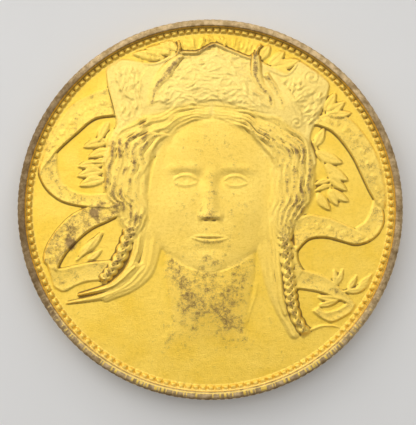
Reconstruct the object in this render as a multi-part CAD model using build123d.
from build123d import *
import math
import os

# A gilded bronze medal lies flat with its portrait side up.
# The origin is the centre of the back rim's plane, +Z is the portrait side's normal and +Y is the top of the head.

# ---- driving dimensions, millimetres ----
DIAMETER = 32.0
THICKNESS = 2.2
OBVERSE_DEPTH = 0.50      # from the rim's top down to the portrait side's field
REVERSE_DEPTH = 0.30      # from the back rim's top to the back's field
RIM_WIDTH = 0.54
RIM_WALL_RUN = 0.10       # how far the rim's inner wall leans inwards at its foot
SHOULDER_RADIUS = 0.24    # rounding between rim and edge
FILM = 0.04               # stand-in thickness of the gold film
FILM_RIM_GAP = 0.06       # clear space between the film and the foot of the rim's inner wall

BEAD_COUNT = 156
BEAD_RADIUS = 0.21
BEAD_RING_RADIUS = 15.10
REVERSE_BEAD_SINK = 0.05  # centres of the back's beads lie this far inside the field

REED_COUNT = 160
REED_GROOVE_RADIUS = 0.25
REED_GROOVE_DEPTH = 0.10
EDGE_FILM_MARGIN = 0.40   # bare length at each end of a groove

RADIUS = DIAMETER / 2
OBVERSE_FIELD = THICKNESS - OBVERSE_DEPTH
REVERSE_FIELD = REVERSE_DEPTH
RIM_INNER = RADIUS - RIM_WIDTH
FIELD_RADIUS = RIM_INNER - RIM_WALL_RUN
RELIEF_ROOT = 0.20        # how far relief solids reach down into the flan, to fuse with it
MASS_ROUNDING = 0.9       # a mass's rounding radius over its height

# ---- portrait side: soft rounded masses (centre x, centre y, half width, half length, height) ----
MASSES = {
    "headdress": (0.0, 9.0, 5.4, 4.75, 0.34),
    "left_panel": (-6.9, 9.3, 2.1, 3.0, 0.20),
    "right_panel": (7.6, 9.2, 2.1, 3.0, 0.20),
    "hair": (-0.2, 2.6, 8.9, 6.0, 0.38),
    "head": (0.0, 0.4, 5.0, 6.9, 0.48),
    "neck": (0.0, -7.6, 4.1, 4.6, 0.30),
    "shoulders": (0.0, -11.6, 7.2, 2.6, 0.16),
}

# ---- portrait side: ribbon bands (one long edge, the other long edge, height) ----
RIBBONS = {
    "left_upper": (
        [(-8.9, 9.8), (-10.4, 9.2), (-12.0, 8.15), (-13.3, 6.3), (-14.1, 4.6), (-14.45, 3.4)],
        [(-8.2, 7.4), (-9.9, 7.05), (-11.4, 5.75), (-13.0, 4.15), (-14.3, 2.35)],
        0.15,
    ),
    "left_loop": (
        [(-14.45, 3.0), (-14.35, 2.2), (-13.8, 1.15), (-12.9, 0.3), (-11.8, -0.2), (-10.2, -0.45), (-8.0, -0.6)],
        [(-12.95, 4.1), (-12.85, 2.6), (-12.35, 1.55), (-11.5, 0.9), (-10.3, 0.62), (-9.0, 0.68), (-7.6, 0.8)],
        0.12,
    ),
    "left_fall": (
        [(-7.6, 0.3), (-9.4, -0.2), (-11.2, -1.0), (-12.4, -2.1), (-13.2, -3.3), (-13.6, -4.3), (-13.65, -5.1)],
        [(-7.1, -0.85), (-8.4, -1.6), (-9.7, -2.25), (-10.8, -3.15), (-11.8, -4.3), (-12.35, -5.3), (-12.5, -5.9)],
        0.17,
    ),
    "left_hem": (
        [(-13.3, -5.35), (-12.3, -5.65), (-11.2, -5.42), (-9.9, -5.12), (-7.6, -4.85)],
        [(-12.75, -7.1), (-11.9, -7.5), (-10.9, -7.0), (-9.9, -6.65), (-8.4, -6.5)],
        0.11,
    ),
    "right_upper": (
        [(9.0, 7.6), (10.3, 7.95), (11.6, 7.5), (12.7, 6.35), (13.5, 5.2), (14.15, 3.9), (14.55, 2.5), (14.7, 0.9),
         (14.5, -0.3)],
        [(8.6, 6.9), (9.3, 6.75), (10.2, 6.3), (11.1, 5.35), (12.0, 4.0), (12.7, 2.5), (13.3, 1.2), (13.95, 0.1)],
        0.15,
    ),
    "right_turn": (
        [(14.3, -0.1), (14.45, -1.1), (14.15, -2.0), (13.5, -2.75), (12.8, -3.05)],
        [(13.6, 0.55), (13.35, -0.5), (12.85, -1.35), (12.1, -1.85)],
        0.12,
    ),
    "right_wave": (
        [(13.2, -2.55), (12.3, -2.1), (11.2, -1.6), (10.0, -1.1), (9.0, -0.9), (8.0, -0.85), (7.0, -1.5)],
        [(13.1, -3.0), (12.1, -3.25), (11.0, -3.0), (9.8, -2.7), (8.8, -2.7), (8.0, -3.0), (7.1, -4.0)],
        0.17,
    ),
    "right_drop": (
        [(7.25, -3.6), (7.3, -4.6), (7.75, -5.5)],
        [(6.3, -2.8), (6.3, -5.0), (6.7, -7.0)],
        0.13,
    ),
    "right_tail": (
        [(7.0, -5.25), (8.7, -5.65), (9.8, -6.1), (10.7, -6.8), (11.4, -7.5), (12.0, -8.15)],
        [(6.9, -6.9), (8.6, -7.1), (9.6, -7.35), (10.6, -7.75), (11.4, -8.05)],
        0.16,
    ),
    "right_return": (
        [(12.0, -8.2), (11.8, -8.7), (11.0, -9.2), (10.1, -9.6), (9.3, -9.35), (8.5, -8.75)],
        [(11.4, -7.95), (10.9, -8.4), (10.2, -8.7), (9.5, -8.8), (9.0, -8.4)],
        0.11,
    ),
}

# ---- portrait side: laurel leaves (base x, base y, tip x, tip y) ----
LEAVES = [
    (-8.6, 5.2, -10.7, 4.5), (-8.4, 4.3, -10.2, 3.7), (-9.2, 3.1, -11.1, 2.8), (-9.2, 2.6, -11.1, 2.15),
    (-9.1, 2.0, -10.9, 1.45), (-8.9, 6.8, -9.5, 5.2),
    (8.9, 5.2, 9.6, 6.6), (9.0, 4.8, 11.0, 3.65), (9.9, 3.3, 11.5, 2.1), (10.0, 2.5, 11.4, 1.3),
    (10.1, 1.3, 11.5, 0.35), (10.0, 1.3, 10.65, -0.05), (9.0, 1.0, 9.95, -0.4), (10.0, 2.1, 8.7, 1.4),
    (-3.6, 13.0, -5.6, 13.5), (-3.6, 13.2, -4.6, 14.2), (-3.0, 13.2, -3.1, 14.4), (4.2, 12.6, 5.0, 14.0),
    (5.0, 12.2, 6.3, 13.4), (5.2, 12.0, 7.4, 12.6), (5.2, 11.7, 6.7, 11.3),
    (9.7, 8.3, 10.6, 9.6), (9.8, 8.2, 11.3, 8.9), (9.9, 8.0, 11.8, 7.9),
    (10.4, -6.5, 10.3, -5.3), (10.6, -6.5, 11.0, -5.3), (11.3, -7.0, 12.7, -6.9), (11.5, -6.9, 12.2, -5.8),
    (12.3, -6.7, 13.4, -6.5), (12.4, -6.5, 13.4, -5.7),
    (-10.6, -4.4, -9.4, -3.1), (-10.2, -3.8, -9.0, -2.5),
]
LEAF_WIDTH_RATIO = 0.34   # leaf width over leaf length
LEAF_HEIGHT = 0.13

# ---- portrait side: plaits, as chains of overlapping lobes along a line ----
PLAITS = {
    "left": [(-6.3, -2.0), (-6.8, -3.4), (-7.5, -4.8), (-8.3, -6.0), (-9.2, -7.2), (-10.5, -7.75)],
    "right": [(6.2, -2.6), (6.3, -4.4), (6.5, -6.2), (6.8, -8.2), (7.3, -9.5), (8.2, -10.7)],
}
PLAIT_LOBES = 11
PLAIT_RADIUS_START = 0.80
PLAIT_RADIUS_END = 0.34
PLAIT_HEIGHT_RATIO = 0.42 # a lobe's height over its radius

# ---- back: laurel wreath round a plain field ----
WREATH_RADIUS = 11.0
WREATH_LEAVES_PER_SIDE = 15
WREATH_START_ANGLE = -82.0
WREATH_END_ANGLE = 72.0
WREATH_LEAF_LENGTH = 2.5
WREATH_LEAF_WIDTH = 0.85
WREATH_LEAF_SPLAY = 26.0
WREATH_LEAF_SHIFT = 0.75  # leaf centre's distance from the stem
WREATH_HEIGHT = 0.16
STEM_WIDTH = 0.26
STEM_HEIGHT = 0.12
KNOT_RADIUS = 0.85

assert OBVERSE_FIELD - REVERSE_FIELD > 2 * RELIEF_ROOT, "the two faces' relief roots would meet"
assert max(mass[-1] for mass in MASSES.values()) < OBVERSE_DEPTH, "relief would stand above the rim"
assert BEAD_RING_RADIUS + BEAD_RADIUS < FIELD_RADIUS, "beads would run into the rim"


def blank():
    """The turned outline of the flan: two fields, two rims with leaning inner walls, rounded shoulders."""
    section = Polyline(
        (0, REVERSE_FIELD),
        (FIELD_RADIUS, REVERSE_FIELD),
        (RIM_INNER, 0),
        (RADIUS, 0),
        (RADIUS, THICKNESS),
        (RIM_INNER, THICKNESS),
        (FIELD_RADIUS, OBVERSE_FIELD),
        (0, OBVERSE_FIELD),
        close=True,
    )
    corners = [v for v in make_face(section).vertices() if abs(v.X - RADIUS) < FILM]
    face = fillet(corners, SHOULDER_RADIUS)
    return revolve(Plane.XZ * face, Axis.Z)


def groove_cutters(radius, bottom, top):
    """One upright rod per reed groove, all round the edge."""
    centre = RADIUS + REED_GROOVE_RADIUS - REED_GROOVE_DEPTH
    rod = Pos(centre, 0, (bottom + top) / 2) * Cylinder(radius, top - bottom)
    return [Rot(0, 0, 360 * i / REED_COUNT) * rod for i in range(REED_COUNT)]


def beads(z):
    """A ring of round beads whose centres lie at height z."""
    bead = Pos(BEAD_RING_RADIUS, 0, z) * Sphere(BEAD_RADIUS)
    return [Rot(0, 0, 360 * i / BEAD_COUNT) * bead for i in range(BEAD_COUNT)]


def mass(x, y, half_width, half_length, height):
    """A low oval pad with a rounded rim that stands on the portrait side's field."""
    pad = extrude(Ellipse(half_width, half_length), height + RELIEF_ROOT, (0, 0, 1))
    pad = fillet(pad.faces().sort_by(Axis.Z)[-1].edges(), MASS_ROUNDING * height)
    return Pos(x, y, OBVERSE_FIELD - RELIEF_ROOT) * pad


def lobe(x, y, radius):
    """A round-topped button that stands on the portrait side's field."""
    height = PLAIT_HEIGHT_RATIO * radius
    ball_radius = (radius ** 2 + height ** 2) / (2 * height)
    ball = Pos(0, 0, height - ball_radius) * Sphere(ball_radius)
    post = Pos(0, 0, (height - RELIEF_ROOT) / 2) * Cylinder(radius, height + RELIEF_ROOT)
    return Pos(x, y, OBVERSE_FIELD) * (ball & post)


def band(one_edge, other_edge, height):
    """A ribbon between two smooth long edges, raised from the portrait side's field."""
    outline = Wire(
        [
            Edge.make_spline([Vector(*p) for p in one_edge]),
            Edge.make_line(one_edge[-1], other_edge[-1]),
            Edge.make_spline([Vector(*p) for p in reversed(other_edge)]),
            Edge.make_line(other_edge[0], one_edge[0]),
        ]
    )
    return Pos(0, 0, OBVERSE_FIELD - RELIEF_ROOT) * extrude(Face(outline), height + RELIEF_ROOT, (0, 0, 1))


def leaf(length, width, height):
    """A pointed leaf outline along +X from the origin, extruded from z 0 up."""
    half = length / 2
    bow = width / 2
    radius = (half * half + bow * bow) / (2 * bow)
    upper = RadiusArc((0, 0), (length, 0), radius)
    lower = RadiusArc((length, 0), (0, 0), radius)
    return extrude(make_face([upper, lower]), height, (0, 0, 1))


def laurel_leaf(base_x, base_y, tip_x, tip_y):
    """One leaf on the portrait side, from its base to its tip."""
    length = math.hypot(tip_x - base_x, tip_y - base_y)
    turn = math.degrees(math.atan2(tip_y - base_y, tip_x - base_x))
    shape = leaf(length, LEAF_WIDTH_RATIO * length, LEAF_HEIGHT + RELIEF_ROOT)
    return Pos(base_x, base_y, OBVERSE_FIELD - RELIEF_ROOT) * Rot(0, 0, turn) * shape


def plait(points):
    """A chain of shrinking lobes along a smooth line on the portrait side."""
    line = Edge.make_spline([Vector(*p) for p in points])
    lobes = []
    for i in range(PLAIT_LOBES):
        share = i / (PLAIT_LOBES - 1)
        radius = PLAIT_RADIUS_START + (PLAIT_RADIUS_END - PLAIT_RADIUS_START) * share
        lobes.append(lobe((line @ share).X, (line @ share).Y, radius))
    return lobes


def obverse_relief():
    """Every raised solid of the portrait side apart from its beads."""
    solids = [mass(*numbers) for numbers in MASSES.values()]
    solids += [band(*numbers) for numbers in RIBBONS.values()]
    solids += [laurel_leaf(*numbers) for numbers in LEAVES]
    for points in PLAITS.values():
        solids += plait(points)
    return solids


def reverse_relief():
    """The back's wreath: two stems with leaves on both sides, and a round knot where they cross."""
    top = REVERSE_FIELD + RELIEF_ROOT
    one_leaf = leaf(WREATH_LEAF_LENGTH, WREATH_LEAF_WIDTH, WREATH_HEIGHT + RELIEF_ROOT)
    solids = []
    for side in (1, -1):
        for i in range(WREATH_LEAVES_PER_SIDE):
            share = i / (WREATH_LEAVES_PER_SIDE - 1)
            angle = WREATH_START_ANGLE + (WREATH_END_ANGLE - WREATH_START_ANGLE) * share
            for splay in (WREATH_LEAF_SPLAY, -WREATH_LEAF_SPLAY):
                reach = WREATH_RADIUS - math.copysign(WREATH_LEAF_SHIFT / 2, splay)
                placed = Rot(0, 0, angle) * Pos(reach, 0, 0) * Rot(0, 0, 90 + splay) * one_leaf
                if side < 0:
                    placed = mirror(placed, Plane.YZ)
                solids.append(Pos(0, 0, top - WREATH_HEIGHT - RELIEF_ROOT) * placed)
    stem = Cylinder(WREATH_RADIUS + STEM_WIDTH / 2, STEM_HEIGHT + RELIEF_ROOT)
    stem -= Cylinder(WREATH_RADIUS - STEM_WIDTH / 2, STEM_HEIGHT + RELIEF_ROOT)
    gap = Pos(0, WREATH_RADIUS, 0) * Box(WREATH_RADIUS * math.cos(math.radians(WREATH_END_ANGLE)) * 2, 3, 1)
    solids.append(Pos(0, 0, top - (STEM_HEIGHT + RELIEF_ROOT) / 2) * (stem - gap))
    solids.append(Pos(0, -WREATH_RADIUS, top - (WREATH_HEIGHT + RELIEF_ROOT) / 2)
                  * Cylinder(KNOT_RADIUS, WREATH_HEIGHT + RELIEF_ROOT))
    return solids


def film(field, relief, outward):
    """The gold film on one field, open where the relief stands through it."""
    disc = Pos(0, 0, field + outward * FILM / 2) * Cylinder(FIELD_RADIUS - FILM_RIM_GAP, FILM)
    return disc - relief


def write(name, shape):
    """Names one sub-part and writes it to its own STEP file."""
    shape.label = name
    export_step(shape, f"parts/{name}.step")


os.makedirs("parts", exist_ok=True)

obverse_solids = obverse_relief() + beads(OBVERSE_FIELD)
reverse_solids = reverse_relief() + beads(REVERSE_FIELD + REVERSE_BEAD_SINK)
grooves = groove_cutters(REED_GROOVE_RADIUS, -FILM, THICKNESS + FILM)

struck_flan = (blank() + obverse_solids + reverse_solids) - grooves
write("struck_flan", struck_flan)
write("obverse_gilding", film(OBVERSE_FIELD, obverse_solids, 1))
write("reverse_gilding", film(REVERSE_FIELD, reverse_solids, -1))

strip_bottom = EDGE_FILM_MARGIN
strip_top = THICKNESS - EDGE_FILM_MARGIN
edge_ring = Pos(0, 0, THICKNESS / 2) * Cylinder(RADIUS, THICKNESS)
outer_rods = groove_cutters(REED_GROOVE_RADIUS, strip_bottom, strip_top)
inner_rods = groove_cutters(REED_GROOVE_RADIUS - FILM, 0, THICKNESS)
strips = [(outer - inner) & edge_ring for outer, inner in zip(outer_rods, inner_rods)]
write("edge_gilding", Compound([s for strip in strips for s in strip.solids()]))
